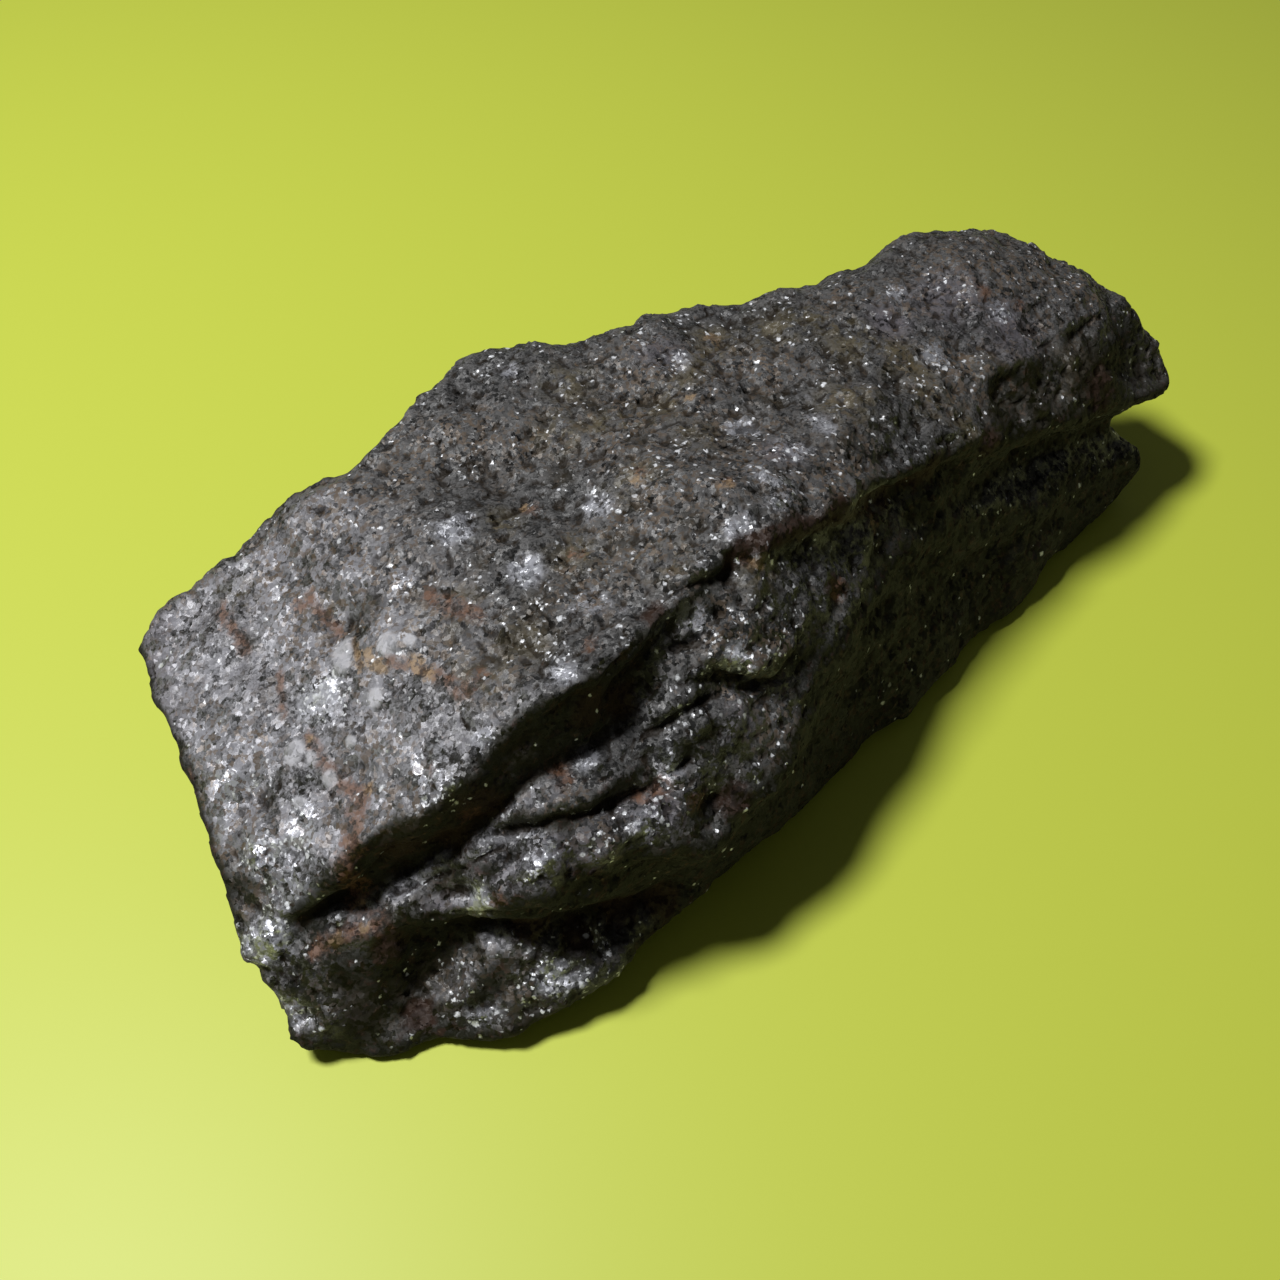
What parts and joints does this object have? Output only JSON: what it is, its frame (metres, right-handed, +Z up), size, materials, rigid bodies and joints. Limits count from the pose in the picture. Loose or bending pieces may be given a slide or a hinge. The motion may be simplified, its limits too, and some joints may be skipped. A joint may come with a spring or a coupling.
{
  "type": "meteorite",
  "caption": "Long blocky meteorite fragment with a broad flat top, a sharp overhanging edge, a layered and cracked front lobe and a worn underside to rest on",
  "frame": {"origin": "on the floor under the middle of the stone's bounding box", "axes": "+X along the stone's length towards its undercut far end, +Y towards its back, +Z up, lying on its worn underside"},
  "size_m": [0.1086, 0.048, 0.0307],
  "materials": {
    "stone": "dark grey granular stone with fine metallic glints, rust-stained in spots"
  },
  "bodies": {
    "root": {"stone": "stone"}
  },
  "joints": []
}
